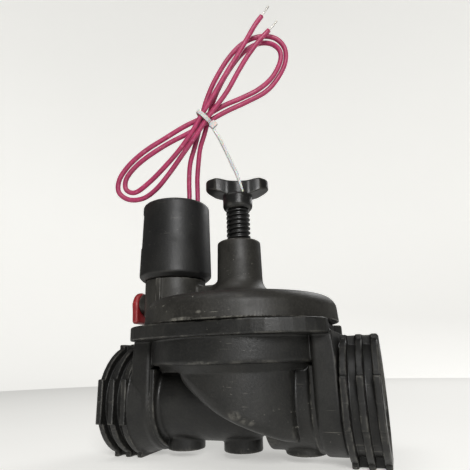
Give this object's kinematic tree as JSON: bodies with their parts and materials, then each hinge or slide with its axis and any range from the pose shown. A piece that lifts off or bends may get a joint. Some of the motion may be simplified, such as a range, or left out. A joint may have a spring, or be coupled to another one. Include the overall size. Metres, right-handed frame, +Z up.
{
  "type": "solenoid valve",
  "caption": "Globe-pattern plastic diaphragm valve with female thread ports, flow-control stem, manual bleed lever and a cylindrical solenoid with two tied leads.",
  "frame": {"origin": "on the plane of the ports' lower flat pads, below the crossing of the port axis and the bonnet's axis", "axes": "+Z up along the bonnet's axis, +X along the port axis towards the inlet, the solenoid on the -X side"},
  "size_m": [0.1507, 0.1088, 0.27],
  "materials": {
    "body_plastic": "fine-grained moulding, scuffed",
    "bonnet_plastic": "dusty, lightly scratched moulding",
    "black_plastic": "satin moulding",
    "red_plastic": "satin moulding",
    "ivory_plastic": "satin moulding",
    "potting_resin": "poured resin",
    "rubber": "moulded rubber",
    "steel": "plain stainless steel",
    "copper_wire": "enamelled copper wire",
    "lead_jacket": "soft satin sheath",
    "tinned_wire": "tinned strands",
    "tie_nylon": "translucent natural nylon"
  },
  "bodies": {
    "body": {"valve_body": "body_plastic", "body_front": "body_plastic", "body_back": "body_plastic", "inlet_end": "body_plastic", "outlet_end": "body_plastic", "bonnet": "bonnet_plastic", "main_spring": "steel", "solenoid_housing": "black_plastic", "solenoid_o_ring": "rubber", "coil_bobbin": "ivory_plastic", "coil_winding": "copper_wire", "coil_yoke": "steel", "guide_tube": "steel", "fixed_core": "steel", "plunger_spring": "steel", "coil_potting": "potting_resin", "lead_a": "lead_jacket", "lead_b": "lead_jacket", "bare_tip_a": "tinned_wire", "bare_tip_b": "tinned_wire", "cable_tie": "tie_nylon"},
    "diaphragm_set": {"diaphragm": "rubber", "seat_disc": "rubber", "diaphragm_plate": "black_plastic", "seat_guide": "black_plastic", "plate_screw": "steel", "metering_plug": "ivory_plastic"},
    "flow_stop": {"flow_stop": "black_plastic"},
    "flow_screw": {"flow_stem": "black_plastic", "flow_handle": "black_plastic", "stem_o_rings": "rubber"},
    "plunger": {"plunger": "steel", "plunger_seal": "rubber"},
    "bleed": {"bleed_screw": "black_plastic", "bleed_o_ring": "rubber", "bleed_lever": "red_plastic"}
  },
  "joints": [
    {"name": "flow_stop_slide", "type": "slide", "parent": "body", "child": "flow_stop", "axis": [0, 0, 1], "range_m": [-0.0126, 0]},
    {"name": "flow_screw_turn", "type": "hinge", "parent": "flow_stop", "child": "flow_screw", "pos_m": [0, 0, 0.1], "axis": [0, 0, 1], "range_deg": [-1620, 0]},
    {"name": "diaphragm_lift", "type": "slide", "parent": "body", "child": "diaphragm_set", "axis": [0, 0, 1], "range_m": [0, 0.006], "stiffness_N_per_m": 900, "springref_m": -0.012, "deforming": ["main_spring", "diaphragm"]},
    {"name": "plunger_lift", "type": "slide", "parent": "body", "child": "plunger", "axis": [0, 0, 1], "range_m": [0, 0.002], "stiffness_N_per_m": 300, "springref_m": -0.003, "deforming": ["plunger_spring"]},
    {"name": "bleed_turn", "type": "hinge", "parent": "body", "child": "bleed", "pos_m": [-0.0669, 0, 0.0845], "axis": [1, 0, 0], "range_deg": [0, 90]}
  ],
  "couplings": [
    {"joint": "flow_stop_slide", "follows": "flow_screw_turn", "m_per_rad": 0.0004456}
  ]
}
